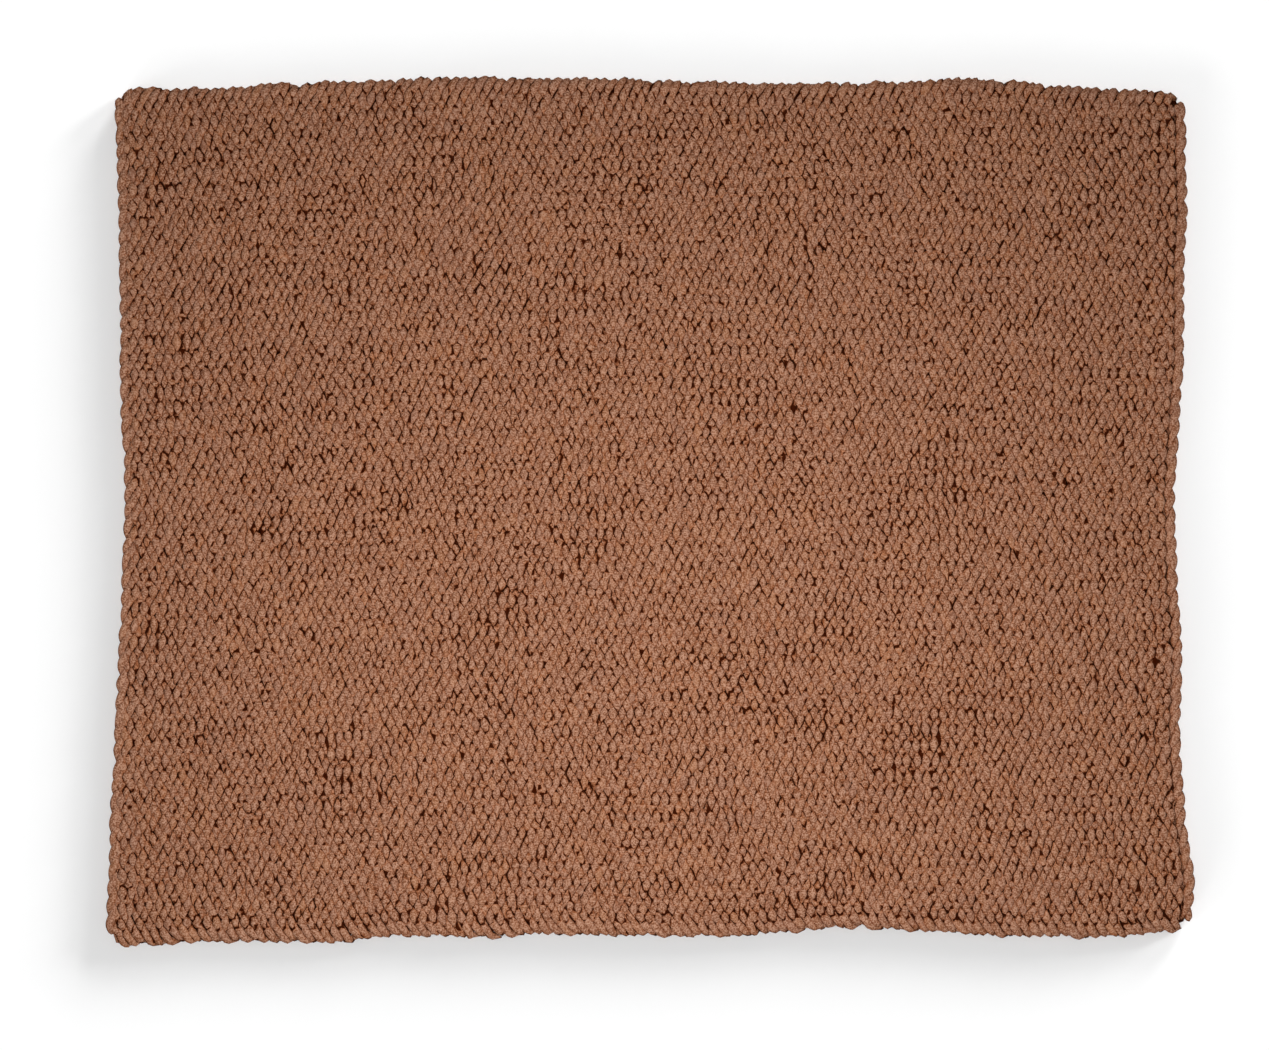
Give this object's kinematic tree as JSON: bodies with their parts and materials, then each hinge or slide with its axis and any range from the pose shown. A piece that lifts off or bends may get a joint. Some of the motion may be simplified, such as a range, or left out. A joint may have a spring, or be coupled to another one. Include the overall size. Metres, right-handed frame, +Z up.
{
  "type": "throw blanket",
  "caption": "Chunky knitted throw blanket of soft chenille yarn, laid out flat, with gently wavy sides, a scalloped rim and rounded corners.",
  "frame": {"origin": "middle of the flat underside, at the centre of the bounding box", "axes": "+X along the long side, from the cast-on end to the bind-off end; +Y along the short side, the way the knitted courses run; +Z up through the thickness"},
  "size_m": [1.5534, 1.239, 0.0194],
  "materials": {
    "chenille_yarn": "soft matt chenille pile, warm terracotta brown with small shifts of tone from loop to loop"
  },
  "bodies": {
    "root": {"throw": "chenille_yarn"}
  },
  "joints": []
}
